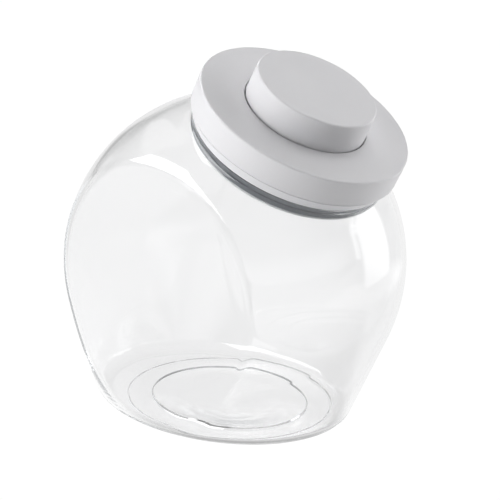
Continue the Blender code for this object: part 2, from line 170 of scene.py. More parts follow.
def prism(outline, width, shift=(0, 0, 0), turn=0.0):
    """Outline in (x, z), in mm, as a closed solid of that width along y, turned about z."""
    bm = bmesh.new()
    verts = [bm.verts.new((x, -width / 2, z)) for x, z in outline]
    out = bmesh.ops.extrude_face_region(bm, geom=[bm.faces.new(verts)])
    bmesh.ops.translate(bm, vec=(0, width, 0), verts=[v for v in out["geom"] if isinstance(v, bmesh.types.BMVert)])
    bmesh.ops.recalc_face_normals(bm, faces=bm.faces)
    bmesh.ops.translate(bm, vec=shift, verts=bm.verts)
    bmesh.ops.rotate(bm, cent=(0, 0, 0), matrix=Matrix.Rotation(turn, 3, "Z"), verts=bm.verts)
    bmesh.ops.scale(bm, vec=(0.001,) * 3, verts=bm.verts)
    return bm


def many(name, parts):
    """Several closed solids as one mesh object, for cutting."""
    joined = bmesh.new()
    for bm in parts:
        temp = bpy.data.meshes.new("temp")
        bm.to_mesh(temp)
        joined.from_mesh(temp)
        bm.free()
        bpy.data.meshes.remove(temp)
    mesh = bpy.data.meshes.new(name)
    joined.to_mesh(mesh)
    joined.free()
    obj = bpy.data.objects.new(name, mesh)
    bpy.context.scene.collection.objects.link(obj)
    return obj


def combine(obj, other, operation):
    """Exact Boolean of obj with other, which is made in the lid's frame, applied; other is removed."""
    other.matrix_world = LID_M
    mod = obj.modifiers.new("cut", "BOOLEAN")
    mod.operation, mod.solver, mod.object = operation, "EXACT", other
    bpy.context.view_layer.update()
    deps = bpy.context.evaluated_depsgraph_get()
    mesh = bpy.data.meshes.new_from_object(obj.evaluated_get(deps))
    obj.modifiers.clear()
    obj.data = mesh
    bpy.data.objects.remove(other, do_unlink=True)
    mesh.shade_smooth()
    mesh.set_sharp_from_angle(angle=math.radians(32))
    return obj


def weighted(obj):
    mod = obj.modifiers.new("weighted", "WEIGHTED_NORMAL")
    mod.keep_sharp = True
    mod.weight = 80
    return obj


# ------------------------------------------------------------------ the jar
def jar_rings(cols=288):
    phi = np.linspace(0, 2 * math.pi, cols, endpoint=False)
    cp, sp = np.cos(phi), np.sin(phi)
    shape = RP ** 2 * np.eye(3) + (RA ** 2 - RP ** 2) * np.outer(AXIS, AXIS)
    shape_inv = np.linalg.inv(shape)

    def normal(gam):
        return np.stack([np.cos(gam) * cp, np.cos(gam) * sp, np.sin(gam) * np.ones_like(cp)], -1)

    def globe_support(n):
        return n @ GLOBE + np.sqrt(np.einsum("...i,ij,...j->...", n, shape, n))

    def globe_point(n):
        return GLOBE + (n @ shape) / np.sqrt(np.einsum("...i,ij,...j->...", n, shape, n))[..., None]

    reach = np.sqrt((FOOT_A * cp) ** 2 + (FOOT_B * sp) ** 2)
    line = np.stack([FOOT_X + FOOT_A ** 2 * cp / reach, FOOT_B ** 2 * sp / reach, np.full(cols, FOOT_ROUND)], 1)

    def foot_support(gam):
        return np.cos(gam) * (FOOT_X * cp + reach) + np.sin(gam) * FOOT_ROUND + FOOT_ROUND

    # where the skin leaves the globe for the foot: the first common tangent below the waist
    steps = np.radians(np.linspace(0, -80, 641))
    gap = np.stack([foot_support(g) - globe_support(normal(g)) for g in steps])
    k = np.argmax(gap >= 0, axis=0)
    high, low = steps[np.maximum(k - 1, 0)], steps[k]
    for _ in range(40):
        mid = 0.5 * (high + low)
        over = foot_support(mid) - globe_support(normal(mid)) >= 0
        low, high = np.where(over, mid, low), np.where(over, high, mid)
    touch = 0.5 * (high + low)
    n_touch = normal(touch)
    p_touch = globe_point(n_touch)

    # the same ring in polar coordinates about the lid axis
    along = (p_touch - GLOBE) @ AXIS / RA
    across = np.stack([(p_touch - GLOBE) @ SIDE_X, (p_touch - GLOBE) @ SIDE_Y], 1) / RP
    theta0 = np.arctan2(np.hypot(across[:, 0], across[:, 1]), along)
    psi = np.unwrap(np.arctan2(across[:, 1], across[:, 0]))
    cq, sq = np.cos(psi), np.sin(psi)
    flat = np.outer(cq, SIDE_X) + np.outer(sq, SIDE_Y)

    def dome(theta):
        s = np.sin(theta)[:, None] * flat
        p = GLOBE + RP * s + RA * np.cos(theta)[:, None] * AXIS
        n = (p - GLOBE) @ shape_inv
        return p, n / np.linalg.norm(n, axis=1)[:, None]

    def grips(p, n, inset, soft):
        """Presses the skin in to the two flats, with a soft edge."""
        p, n = p.copy(), n.copy()
        y = p[:, 1]
        wide = GRIP_HALF - inset / math.cos(math.atan(GRIP_DRAFT)) + (p[:, 2] - GLOBE[2]) * GRIP_DRAFT
        ay, sg = np.abs(y), np.where(y < 0, -1.0, 1.0)
        h = np.clip(soft - np.abs(ay - wide), 0, None) / soft
        new = np.minimum(ay, wide) - h ** 3 * soft / 6
        d_near = 0.5 * h ** 2 * np.sign(ay - wide)
        g_y = np.where(ay < wide, 1.0, 0.0) + d_near
        g_w = np.where(ay < wide, 0.0, 1.0) - d_near
        p[:, 1] = sg * new
        q = g_w * GRIP_DRAFT * sg
        out = np.stack([g_y * n[:, 0], n[:, 1], -q * n[:, 1] + g_y * n[:, 2]], 1)
        return p, out / np.linalg.norm(out, axis=1)[:, None]

    def oval(a, b, cx, offset, z):
        d = np.sqrt((a * cp) ** 2 + (b * sp) ** 2)
        return np.stack([cx + a * a * cp / d + offset * cp, b * b * sp / d + offset * sp, np.full(cols, z)], 1)

    def step_profile(top_r, low_r, slope=74.0, depth=PUNT_DEPTH):
        """(offset, height, tilt) down the side of the raised oval, from its top to its foot."""
        al = math.radians(slope)
        pts = []
        for t in np.linspace(0, al, 6):
            pts.append((top_r * math.sin(t), depth - top_r * (1 - math.cos(t)), t))
        x, z = pts[-1][0], pts[-1][1]
        z2 = low_r * (1 - math.cos(al))
        x2 = x + (z - z2) / math.tan(al)
        for t in np.linspace(al, 0, 6):
            pts.append((x2 + low_r * (math.sin(al) - math.sin(t)), low_r * (1 - math.cos(t)), t))
        mid = 0.5 * (x + x2)
        return [(o - mid, h, t) for o, h, t in pts]

    def foot(gam, inset):
        n = normal(gam)
        return line + (FOOT_ROUND - inset) * n, n

    def outer_base(soft):
        """Underside, from the middle of the raised oval out to the foot, and up to the globe."""
        rows = []
        prof = step_profile(0.35, 0.3, slope=88.0)
        inner = oval(PUNT_A, PUNT_B, PUNT_X, prof[0][0], PUNT_DEPTH)
        middle = np.array([PUNT_X, 0, PUNT_DEPTH])
        up = np.tile([0.0, 0.0, -1.0], (cols, 1))
        for s in (0.06, 0.16, 0.3, 0.45, 0.6, 0.74, 0.86, 0.95):
            rows.append((middle + (inner - middle) * s, up))
        for o, h, t in prof:
            p = oval(PUNT_A, PUNT_B, PUNT_X, o, h)
            n = np.stack([-math.sin(t) * cp, -math.sin(t) * sp, np.full(cols, -math.cos(t))], 1)
            rows.append((p, n))
        edge = rows[-1][0]
        start, _ = foot(np.full(cols, -math.pi / 2), 0.0)
        for s in (0.3, 0.6, 0.85):
            rows.append((edge + (start - edge) * s, up))
        for s in np.linspace(0, 1, 17):
            p, n = foot(-math.pi / 2 + (touch + math.pi / 2) * s, 0.0)
            rows.append(grips(p, n, 0.0, soft))
        low, _ = foot(touch, 0.0)
        for s in np.linspace(0, 1, 25)[1:]:
            rows.append(grips(low + (p_touch - low) * s, n_touch, 0.0, soft))
        return rows

    def inner_base(soft, groove=0.3, half=0.75):
        """Inside of the floor: a low crown, a fine groove round it, then the heel."""
        rows = []
        wide = np.sqrt((HEEL_A * cp) ** 2 + (HEEL_B * sp) ** 2)
        centre, edge = np.array([HEEL_X, 0, 0]), oval(HEEL_A, HEEL_B, HEEL_X, -half, 0.0)
        for s in (0.06, 0.14, 0.24, 0.34, 0.44, 0.5, 0.55, 0.6, 0.65, 0.7, 0.75, 0.8, 0.85, 0.9, 0.95, 0.985):
            t = min(max((s - 0.42) / 0.56, 0.0), 1.0)
            p = centre + (edge - centre) * s
            p[:, 2] = WALL + PUNT_DEPTH * (1 - t * t * (3 - 2 * t))
            fall = PUNT_DEPTH * 6 * t * (1 - t) / 0.56 / wide
            n = np.stack([-fall * cp, -fall * sp, np.full(cols, -1.0)], 1)
            rows.append((p, n / np.linalg.norm(n, axis=1)[:, None]))
        for o in np.linspace(-1, 1, 9):
            p = oval(HEEL_A, HEEL_B, HEEL_X, o * half, WALL - groove * 0.5 * (1 + math.cos(math.pi * o)))
            tilt = groove * 0.5 * math.pi / half * math.sin(math.pi * o)
            n = np.stack([tilt * cp, tilt * sp, np.full(cols, -1.0)], 1)
            rows.append((p, n / np.linalg.norm(n, axis=1)[:, None]))
        for s in np.linspace(0, 1, 21):
            p, n = foot(-math.pi / 2 + (touch + math.pi / 2) * s, WALL)
            rows.append(grips(p, n, WALL, soft))
        low, high = foot(touch, WALL)[0], p_touch - WALL * n_touch
        for s in np.linspace(0, 1, 25)[1:]:
            rows.append(grips(low + (high - low) * s, n_touch, WALL, soft))
        return rows

    def dome_rows(theta_end, inset, soft, count):
        rows = []
        for s in np.linspace(0, 1, count + 1)[1:]:
            p, n = dome(theta0 + (theta_end - theta0) * s)
            rows.append(grips(p - inset * n, n, inset, soft))
        return rows

    def ring(r, z, nr, nz):
        """Ring in the lid's frame, with the columns' own azimuths."""
        p = LID + r * flat + z * AXIS
        n = nr * flat + nz * AXIS
        return p, n

    def bend(p0, d0, p1, count):
        """Rings along a curve from p0, heading d0, that arrives upright at p1."""
        t = (p1[0] - p0[0]) / d0[0]
        c = np.array([p1[0], p0[1] + d0[1] * t])
        rows = []
        for s in np.linspace(0, 1, count + 1)[1:]:
            p = (1 - s) ** 2 * p0 + 2 * s * (1 - s) * c + s * s * p1
            d = 2 * (1 - s) * (c - p0) + 2 * s * (p1 - c)
            d /= np.linalg.norm(d)
            rows.append((p, d))
        return rows

    outer = outer_base(6.0)
    th_out = math.asin(70.2 / RP)
    outer += dome_rows(th_out, 0.0, 6.0, 90)
    p0 = np.array([70.2, -LID_RISE + RA * math.cos(th_out)])
    d0 = np.array([-RP * math.cos(th_out), RA * math.sin(th_out)])
    neck = [(p, np.array([d[1], -d[0]])) for p, d in bend(p0, d0 / np.linalg.norm(d0), np.array([NECK_R, -25.5]), 12)]
    rim = rounded([(NECK_R, -25.5), (NECK_R, RIM_Z, 0.4), (MOUTH_R, RIM_Z, 0.4), (MOUTH_R, -28.9)], closed=False, turn=15)
    neck += [(np.array(v[:2]), np.array(v[2:])) for v in rim[1:]]
    th_in = math.asin(70.9 / RP)
    p_in = np.array([70.9, -LID_RISE + RA * math.cos(th_in)])
    n_in = np.array([math.sin(th_in) / RP, math.cos(th_in) / RA])
    n_in /= np.linalg.norm(n_in)
    p_in = p_in - WALL * n_in
    d_in = np.array([-RP * math.cos(th_in), RA * math.sin(th_in)])
    back = bend(p_in, d_in / np.linalg.norm(d_in), np.array([MOUTH_R, -28.9]), 9)
    back = [(p_in, d_in / np.linalg.norm(d_in))] + back[:-1]
    neck += [(p, np.array([-d[1], d[0]])) for p, d in reversed(back)]
    rows = outer + [ring(*p, *n) for p, n in neck]

    inner = inner_base(4.5)
    inner += dome_rows(th_in, WALL, 4.5, 78)[:-1]
    rows += [(p, -n) for p, n in reversed(inner)]
    first = ((PUNT_X, 0, PUNT_DEPTH), (0, 0, -1))
    last = ((HEEL_X, 0, WALL + PUNT_DEPTH), (0, 0, 1))
    return rings(rows, first, last)


verts, faces, norms = jar_rings()
jar = object_from("jar", verts, faces, norms)

# ------------------------------------------------------------------ lid pieces
cover = turned("lid_top_ring", [
    (39.8, -2.6, 0.3), (65.1, -2.6, 0.5), (65.9, -3.4, 0.4), (65.9, -16.79, 0.3), (68.17, -16.79, 0.5),
    (68.0, 0, 1.15), (39.8, 0, 0.5)], segments=224, turn=9)

cap = turned("push_button", [
    (0, 15.79), (36.4, 15.79, 1.0), (38.4, -4.3, 0.3), (42.5, -4.3, 0.3), (42.5, -2.9, 0.3), (39.25, -2.9, 0.3),
    (38.61, 18.29, 1.15), (0, 18.29)], segments=224, closed=False, turn=9)

# the flange on top, out to (63.7, -24.6) and up to (61.6, -22.7), is a dark piece put in the shaded gap between the
# lid's lip and the jar's rim; the rest is the gasket
gasket = turned("gasket", [
    (55.8, -32.9, 0.3), (60.2, -32.9, 0.5), (60.9, -32.2, 0.6), (60.9, -29.7, 0.45), (60.3, -29.3, 0.25),
    (60.3, -28.1, 0.25), (60.9, -27.7, 0.45), (60.9, -24.6, 0.2), (63.7, -24.6, 0.2), (63.7, -24.2, 0.2), (61.6, -22.7, 0.3), (55.8, -22.7, 0.3)], segments=192, turn=15)

quarter = [i * math.pi / 2 for i in range(4)]
chassis = turned("lid_base", [
    (0, -29.6), (55.5, -29.6, 0.5), (55.5, -22.6, 0.2), (62.4, -22.6, 0.3), (63.7, -23.8, 0.2), (64.3, -23.8, 0.35), (67.9, -17.1, 0.25),
    (65.6, -17.1, 0.2), (65.6, -12.0, 0.4), (63.9, -12.0, 0.3), (63.9, -17.9, 0.6), (62.2, -21.1, 0.6),
    (53.5, -21.1, 0.3), (53.5, -28.0, 0.4), (45.0, -28.0, 0.4), (45.0, -3.0, 0.3), (43.0, -3.0, 0.3),
    (43.0, -28.0, 0.4), (0, -28.0)], segments=176, closed=False, turn=18)
ears = [prism([(25.2, -28.8), (30.8, -28.8), (30.8, -16.2), (29.9, -15.1), (28.7, -14.7), (27.3, -14.7), (26.1, -15.1), (25.2, -16.2)],
              2.0, (0, s * 3.9, 0), q) for q in quarter for s in (-1, 1)]
combine(chassis, many("ears", ears), "UNION")
windows = [prism([(28.4, -31), (37.2, -31), (37.2, -26.5), (28.4, -26.5)], 5.4, (0, 0, 0), q) for q in quarter]
eye_ring = [(1.55 * math.cos(t), 1.55 * math.sin(t)) for t in np.linspace(0, 2 * math.pi, 24, endpoint=False)]
eyes = [prism([(28.0 + x, -17.7 + z) for x, z in eye_ring], 14.0, (0, 0, 0), q) for q in quarter]
combine(chassis, many("windows", windows), "DIFFERENCE")
combine(chassis, many("eyes", eyes), "DIFFERENCE")
weighted(chassis)

plate = turned("seal_plate", [
    (0, -35.4), (58.4, -35.4, 0.6), (59.5, -34.5, 0.4), (59.5, -33.7, 0.4), (59.0, -33.2, 0.3), (0, -33.2)],
    segments=176, closed=False, turn=15)
hooks = [prism([(35.0, -34.2), (36.6, -34.2), (36.6, -12.6), (36.2, -12.2), (29.3, -12.2), (28.9, -12.6), (28.9, -13.7), (35.0, -13.7)],
               4.6, (0, 0, 0), q) for q in quarter]
combine(plate, many("hooks", hooks), "UNION")
weighted(plate)


def coil(name, radius, wire, z_top, z_low, turns, per_turn=30, sides=12):
    """Compression spring with its end turns closed up and flat."""
    rest = (z_top - z_low)
    count = int(turns * per_turn) + 1
    s = np.linspace(0, turns, count)
    share = np.interp(s, [0, 0.55, turns - 0.55, turns], [0, 0.05, 0.95, 1])
    kernel = np.hanning(15)
    pad = np.pad(share, 7, mode="edge")
    share = np.convolve(pad, kernel / kernel.sum(), mode="valid")
    share = (share - share[0]) / (share[-1] - share[0])
    a = 2 * math.pi * s
    line = np.stack([radius * np.cos(a), radius * np.sin(a), z_top - rest * share], 1)
    tan = np.gradient(line, axis=0)
    tan /= np.linalg.norm(tan, axis=1)[:, None]
    out = np.stack([np.cos(a), np.sin(a), np.zeros_like(a)], 1)
    up = np.cross(tan, out)
    up /= np.linalg.norm(up, axis=1)[:, None]
    side = np.cross(up, tan)
    verts, norms, faces = [], [], []
    for i in range(count):
        for j in range(sides):
            t = 2 * math.pi * j / sides
            n = math.cos(t) * side[i] + math.sin(t) * up[i]
            verts.append(line[i] + wire * n)
            norms.append(n)
    for i in range(count - 1):
        for j in range(sides):
            k = (j + 1) % sides
            faces.append((i * sides + j, i * sides + k, (i + 1) * sides + k, (i + 1) * sides + j))
    faces.append(tuple(range(sides - 1, -1, -1)))
    faces.append(tuple((count - 1) * sides + j for j in range(sides)))
    obj = object_from(name, verts, faces, None, LID_M)
    bm = bmesh.new()
    bm.from_mesh(obj.data)
    bmesh.ops.recalc_face_normals(bm, faces=bm.faces)
    bm.to_mesh(obj.data)
    bm.free()
    obj.data.shade_smooth()
    obj.data.set_sharp_from_angle(angle=math.radians(60))
    return obj


spring = coil("spring", 4.1, 0.45, -6.3, -27.2, 5.0)


# ------------------------------------------------------------------ materials
class Nodes:
    """Short hand for building a node material."""

    def __init__(self, name):
        self.mat = bpy.data.materials.new(name)
        self.mat.use_nodes = True
        self.tree = self.mat.node_tree
        self.tree.nodes.clear()
        self.out = self.tree.nodes.new("ShaderNodeOutputMaterial")

    def add(self, kind, inputs=None, **props):
        node = self.tree.nodes.new("ShaderNode" + kind)
        for k, v in props.items():
            setattr(node, k, v)
        for k, v in (inputs or {}).items():
            socket = node.inputs[k]
            if isinstance(v, bpy.types.NodeSocket):
                self.tree.links.new(v, socket)
            else:
                socket.default_value = v
        return node

    def noise(self, coords, scale, detail=3.0, rough=0.5):
        return self.add("TexNoise", {"Vector": coords, "Scale": scale, "Detail": detail, "Roughness": rough}).outputs["Fac"]

    def ramp(self, value, stops):
        node = self.add("ValToRGB", {"Fac": value})
        cr = node.color_ramp
        while len(cr.elements) < len(stops):
            cr.elements.new(0.5)
        for e, (pos, col) in zip(cr.elements, stops):
            e.position, e.color = pos, (*col, 1.0) if len(col) == 3 else col
        return node.outputs["Color"]

    def spread(self, value, low, high, lo_in=0.3, hi_in=0.7):
        return self.add("MapRange", {"Value": value, "From Min": lo_in, "From Max": hi_in, "To Min": low, "To Max": high}).outputs["Result"]

    def bump(self, height, strength, distance, normal=None):
        ins = {"Height": height, "Strength": strength, "Distance": distance}
        if normal is not None:
            ins["Normal"] = normal
        return self.add("Bump", ins).outputs["Normal"]

    def surface(self, shader):
        self.tree.links.new(shader, self.out.inputs["Surface"])
        return self.mat


def moulded(name, low, high, rough, grain=2600.0, depth=0.00003, spec=0.5):
    """Satin injection-moulded plastic: a spark-eroded grain, slow tone drift and faint polish marks."""
    n = Nodes(name)
    co = n.add("TexCoord").outputs["Object"]
    slow = n.noise(co, 22.0, 2.0)
    fine = n.noise(co, 700.0, 3.0, 0.6)
    tint = n.add("Mix", {"Factor": 0.25, "A": slow, "B": fine}, data_type="FLOAT").outputs["Result"]
    colour = n.ramp(tint, [(0.3, low), (0.7, high)])
    skin = n.noise(co, grain, 4.0, 0.65)
    wave = n.noise(co, 60.0, 2.0, 0.4)
    normal = n.bump(skin, 0.35, depth)
    normal = n.bump(wave, 0.05, 0.0004, normal)
    bsdf = n.add("BsdfPrincipled", {
        "Base Color": colour, "Roughness": n.spread(fine, rough - 0.05, rough + 0.06), "Normal": normal, "IOR": 1.5,
        "Specular IOR Level": spec})
    return n.surface(bsdf.outputs["BSDF"])


def clear_plastic(name):
    """Polished clear plastic, with a faint painted glow of its own.  Lamps and scattered light pass straight through
    it, so it casts no hard shadow.
    """
    n = Nodes(name)
    co = n.add("TexCoord").outputs["Object"]
    flow = n.noise(co, 14.0, 2.0, 0.4)
    normal = n.bump(flow, 0.04, 0.002)
    haze = n.noise(co, 55.0, 4.0, 0.6)
    # painted light: a faint white emission (0.006) makes the clear plastic glow a little, though it is no lamp
    bsdf = n.add("BsdfPrincipled", {
        "Base Color": (0.954, 0.9545, 0.957, 1), "Roughness": n.spread(haze, 0.0, 0.012, 0.35, 0.75), "IOR": 1.5,
        "Transmission Weight": 1.0, "Normal": normal, "Emission Color": (1, 1, 1, 1), "Emission Strength": 0.006})
    clear = n.add("BsdfTransparent", {"Color": (0.93, 0.94, 0.945, 1)})
    path = n.add("LightPath")
    soft = n.add("MixShader", {0: path.outputs["Is Diffuse Ray"], 1: bsdf.outputs["BSDF"], 2: clear.outputs["BSDF"]})
    mix = n.add("MixShader", {0: path.outputs["Is Shadow Ray"], 1: soft.outputs["Shader"], 2: clear.outputs["BSDF"]})
    absorb = n.add("VolumeAbsorption", {"Color": (0.86, 0.868, 0.875, 1), "Density": 12.0})
    n.tree.links.new(absorb.outputs["Volume"], n.out.inputs["Volume"])
    return n.surface(mix.outputs["Shader"])


def silicone(name):
    n = Nodes(name)
    co = n.add("TexCoord").outputs["Object"]
    slow = n.noise(co, 40.0, 3.0)
    pale = n.ramp(slow, [(0.3, (0.125, 0.131, 0.147)), (0.7, (0.157, 0.165, 0.183))])
    # painted shade: towards the top, under the lid's lip, the colour fades to near-black (0.045), standing in for the
    # shadow in the gap under the lip
    height = n.add("VectorMath", {0: co, 1: tuple(AXIS)}, operation="DOT_PRODUCT").outputs["Value"]
    top = float(LID @ AXIS) * 0.001
    up = n.spread(height, 0.0, 1.0, top - 0.0262, top - 0.0246)
    colour = n.add("Mix", {"Factor": up, "A": pale, "B": (0.045, 0.047, 0.054, 1)}, data_type="RGBA").outputs["Result"]
    skin = n.noise(co, 1800.0, 4.0, 0.6)
    bsdf = n.add("BsdfPrincipled", {
        "Base Color": colour, "Roughness": n.spread(n.noise(co, 300.0), 0.42, 0.55), "IOR": 1.43,
        "Normal": n.bump(skin, 0.3, 0.00004)})
    bsdf.inputs["Sheen Weight"].default_value = 0.12
    bsdf.inputs["Sheen Roughness"].default_value = 0.4
    return n.surface(bsdf.outputs["BSDF"])


def steel(name, along):
    """Drawn wire or ground pin: fine lines along the length."""
    n = Nodes(name)
    co = n.add("TexCoord").outputs["Object"]
    lines = n.add("Mapping", {"Vector": co, "Scale": along}).outputs["Vector"]
    draw = n.noise(lines, 1.0, 3.0, 0.6)
    colour = n.ramp(draw, [(0.3, (0.52, 0.52, 0.53)), (0.7, (0.68, 0.68, 0.69))])
    bsdf = n.add("BsdfPrincipled", {
        "Base Color": colour, "Metallic": 1.0, "Roughness": n.spread(draw, 0.2, 0.34), "Normal": n.bump(draw, 0.2, 0.00002)})
    return n.surface(bsdf.outputs["BSDF"])


M_JAR = clear_plastic("clear_plastic_look")
M_WHITE = moulded("white_plastic_look", (0.717, 0.713, 0.732), (0.747, 0.743, 0.762), 0.42)
M_INNER = moulded("inner_plastic_look", (0.70, 0.71, 0.715), (0.76, 0.765, 0.77), 0.5, grain=1500.0)
M_ACETAL = moulded("acetal_look", (0.56, 0.58, 0.60), (0.62, 0.64, 0.66), 0.4, grain=1800.0)
M_GASKET = silicone("silicone_look")
M_WIRE = steel("wire_look", (300.0, 300.0, 2500.0))
M_PIN = steel("pin_look", (2500.0, 300.0, 2500.0))


def dress(obj, mat):
    obj.data.materials.clear()
    obj.data.materials.append(mat)
    return obj


def place(obj, mat, body, node):
    dress(obj, mat)
    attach(obj, body)
    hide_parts(node)
    return obj


place(jar, M_JAR, "jar", "jar_body")
place(cover, M_WHITE, "lid", "lid_cover")
place(cap, M_WHITE, "button", "button_cap")
place(chassis, M_WHITE, "lid", "lid_chassis")
place(plate, M_INNER, "plate", "draw_plate")
place(gasket, M_GASKET, "lid", "seal_gasket")
place(spring, M_WIRE, "lid", "return_spring")
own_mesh(gasket)
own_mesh(spring)

for name, obj in NODES.items():
    if obj.hide_render:
        continue
    if name.startswith("lift_lever") or name == "latch_rotor":
        mat, slot, width = M_ACETAL, "grey_acetal", 0.00025
    elif name.startswith("lever_pin"):
        mat, slot, width = M_PIN, "stainless_steel", 0.0002
    else:
        mat, slot, width = M_INNER, "inner_plastic", 0.0002
    obj.data.materials.clear()
    obj.data.materials.append(mat)
    mod = obj.modifiers.new("edges", "BEVEL")
    mod.width, mod.segments, mod.limit_method, mod.angle_limit = width, 2, "ANGLE", math.radians(35)
    mod.use_clamp_overlap = True
    weighted(obj)

# ------------------------------------------------------------------ studio
scene = bpy.context.scene
scene.view_settings.view_transform = "Standard"
scene.view_settings.look = "None"
cyc = scene.cycles
cyc.max_bounces = 140
cyc.transmission_bounces = 64
cyc.glossy_bounces = 120
cyc.diffuse_bounces = 1
cyc.transparent_max_bounces = 24
cyc.volume_bounces = 2
cyc.blur_glossy = 0.5
cyc.sample_clamp_indirect = 8.0

TARGET = Vector((0.01993, -0.01114, 0.11433))
AZ, EL, FAR = math.radians(40.58), math.radians(17.73), 0.8784
back = Vector((math.sin(AZ) * math.cos(EL), -math.cos(AZ) * math.cos(EL), math.sin(EL)))
right = Vector((math.cos(AZ), math.sin(AZ), 0.0))
near = Vector((math.sin(AZ), -math.cos(AZ), 0.0))
cam_data = bpy.data.cameras.new("camera")
cam_data.lens, cam_data.sensor_width = 99.6, 36.0
cam_data.clip_start, cam_data.clip_end = 0.02, 60.0
cam = bpy.data.objects.new("camera", cam_data)
scene.collection.objects.link(cam)
cam.location = TARGET + back * FAR
cam.rotation_mode = "QUATERNION"
cam.rotation_quaternion = (-back).to_track_quat("-Z", "Y")
scene.camera = cam


class Studio:
    """Maths nodes for the light table, the cards and the room.  Places are given
    as distances to the right of, towards and above the first camera's ground point."""

    def __init__(self, tree):
        self.tree = tree

    def node(self, kind, inputs=None, **props):
        n = self.tree.nodes.new(kind)
        for k, v in props.items():
            setattr(n, k, v)
        for k, v in (inputs or {}).items():
            if isinstance(v, bpy.types.NodeSocket):
                self.tree.links.new(v, n.inputs[k])
            else:
                n.inputs[k].default_value = v
        return n

    def math(self, op, a, b=0.0, c=0.0):
        return self.node("ShaderNodeMath", {0: a, 1: b, 2: c}, operation=op).outputs[0]

    def along(self, vector, axis):
        return self.node("ShaderNodeVectorMath", {0: vector, 1: tuple(axis)}, operation="DOT_PRODUCT").outputs["Value"]

    def rise(self, value, start, end, low=0.0, high=1.0):
        n = self.node("ShaderNodeMapRange", {0: value, 1: start, 2: end, 3: low, 4: high}, interpolation_type="SMOOTHSTEP")
        n.clamp = True
        return n.outputs[0]

    def window(self, value, low, high, soft):
        up = self.rise(value, low - soft, low + soft)
        down = self.rise(value, high - soft, high + soft, 1.0, 0.0)
        return self.math("MULTIPLY", up, down)

    def hill(self, value, centre, width):
        d = self.math("DIVIDE", self.math("SUBTRACT", value, centre), width)
        return self.math("EXPONENT", self.math("MULTIPLY", self.math("MULTIPLY", d, d), -1.0))


def emission(name, strength):
    n = Nodes(name)
    return n.surface(n.add("Emission", {"Color": (1, 1, 1, 1), "Strength": strength}).outputs["Emission"])


def card(name, corner, across, upward, mat, glossy=True, through=True, diffuse=False):
    """A studio card or flag out of the picture, given by a corner and two sides."""
    mesh = bpy.data.meshes.new(name)
    c, a, b = Vector(corner), Vector(across), Vector(upward)
    mesh.from_pydata([c, c + a, c + a + b, c + b], [], [(0, 1, 2, 3)])
    mesh.uv_layers.new(name="UVMap")
    mesh.materials.append(mat)
    obj = bpy.data.objects.new(name, mesh)
    scene.collection.objects.link(obj)
    obj.visible_camera = False
    obj.visible_shadow = False
    obj.visible_diffuse = diffuse
    obj.visible_glossy = glossy
    obj.visible_transmission = through
    return obj


def spot(r, n, z):
    return right * r + near * n + Vector((0, 0, z))


# a white light table: burnt out where the camera sees it; where the jar mirrors it, a little uneven with painted light
# and shade, a painted pool of light before the right panel, and a painted contact shadow, dark in the narrow gap under
# the rounded foot
def table_material():
    m = Nodes("light_table")
    s = Studio(m.tree)
    pos = m.add("NewGeometry").outputs["Position"]
    r, n = s.along(pos, right), s.along(pos, near)
    xyz = m.add("SeparateXYZ", {0: pos})
    # painted light and shade where the jar mirrors the table: dimmer far to the left, a little darker to the right of
    # the jar, dimmer far in front
    left = s.rise(r, -0.50, -0.20, 0.80, 1.0)
    side = s.rise(r, 0.03, 0.13, 1.0, 0.91)
    front = s.rise(n, 0.25, 0.60, 1.0, 0.65)
    level = s.math("MULTIPLY", s.math("MULTIPLY", left, side), front)
    # a painted pool of light on the table before the right panel
    painted_light_pool = s.math("MULTIPLY", s.window(r, 0.30, 0.62, 0.05), s.window(n, -0.26, 0.24, 0.08))
    level = s.math("ADD", level, s.math("MULTIPLY", painted_light_pool, 0.35))
    # a dark band painted into the table in front on the left
    gap = s.math("MULTIPLY", s.window(r, -0.70, -0.14, 0.04), s.rise(n, 0.26, 0.34))
    level = s.math("MULTIPLY", level, s.math("SUBTRACT", 1.0, s.math("MULTIPLY", gap, 0.97)))
    u = s.math("DIVIDE", s.math("SUBTRACT", xyz.outputs[0], FOOT_X * 0.001), FOOT_A * 0.001)
    v = s.math("DIVIDE", xyz.outputs[1], FOOT_B * 0.001)
    q = s.math("SQRT", s.math("ADD", s.math("MULTIPLY", u, u), s.math("MULTIPLY", v, v)))
    ua, vb = s.math("DIVIDE", u, FOOT_A * 0.001), s.math("DIVIDE", v, FOOT_B * 0.001)
    grad = s.math("DIVIDE", s.math("SQRT", s.math("ADD", s.math("MULTIPLY", ua, ua), s.math("MULTIPLY", vb, vb))), q)
    dist = s.math("DIVIDE", s.math("SUBTRACT", q, 1.0), grad)
    # painted contact shadow on the near side: a dark line along the foot's outline, then painted shade fading out to
    # about 34 cm
    before = s.rise(n, 0.02, 0.06)
    rim = s.math("MULTIPLY", s.hill(dist, 0.003, 0.004), 0.62)
    shade = s.math("MULTIPLY", s.rise(dist, 0.0, 0.02), s.rise(dist, 0.02, 0.34, 0.62, 0.0))
    open_share = s.math("SUBTRACT", 1.0, s.math("MULTIPLY", before, s.math("MAXIMUM", rim, shade)))
    level = s.math("MULTIPLY", level, open_share)
    # painted light: the table is 13% brighter inside the foot's outline
    level = s.math("MULTIPLY", level, s.rise(dist, -0.004, 0.0, 1.13, 1.0))
    path = m.add("LightPath")
    seen = m.add("Emission", {"Color": (1, 1, 1, 1), "Strength": 1.02})
    other = m.add("Emission", {"Color": (1, 1, 1, 1), "Strength": level})
    mix = m.add("MixShader", {0: path.outputs["Is Camera Ray"], 1: other.outputs[0], 2: seen.outputs[0]})
    return m.surface(mix.outputs[0])


floor_mesh = bpy.data.meshes.new("floor")
half = 14.0
floor_mesh.from_pydata([(-half, -half, 0), (half, -half, 0), (half, half, 0), (-half, half, 0)], [], [(0, 1, 2, 3)])
floor_mesh.materials.append(table_material())
floor = bpy.data.objects.new("floor", floor_mesh)
scene.collection.objects.link(floor)
floor.location = (0, 0, -0.0003)
floor.visible_diffuse = False
floor.visible_shadow = False

LAMP_TOP = 14.0

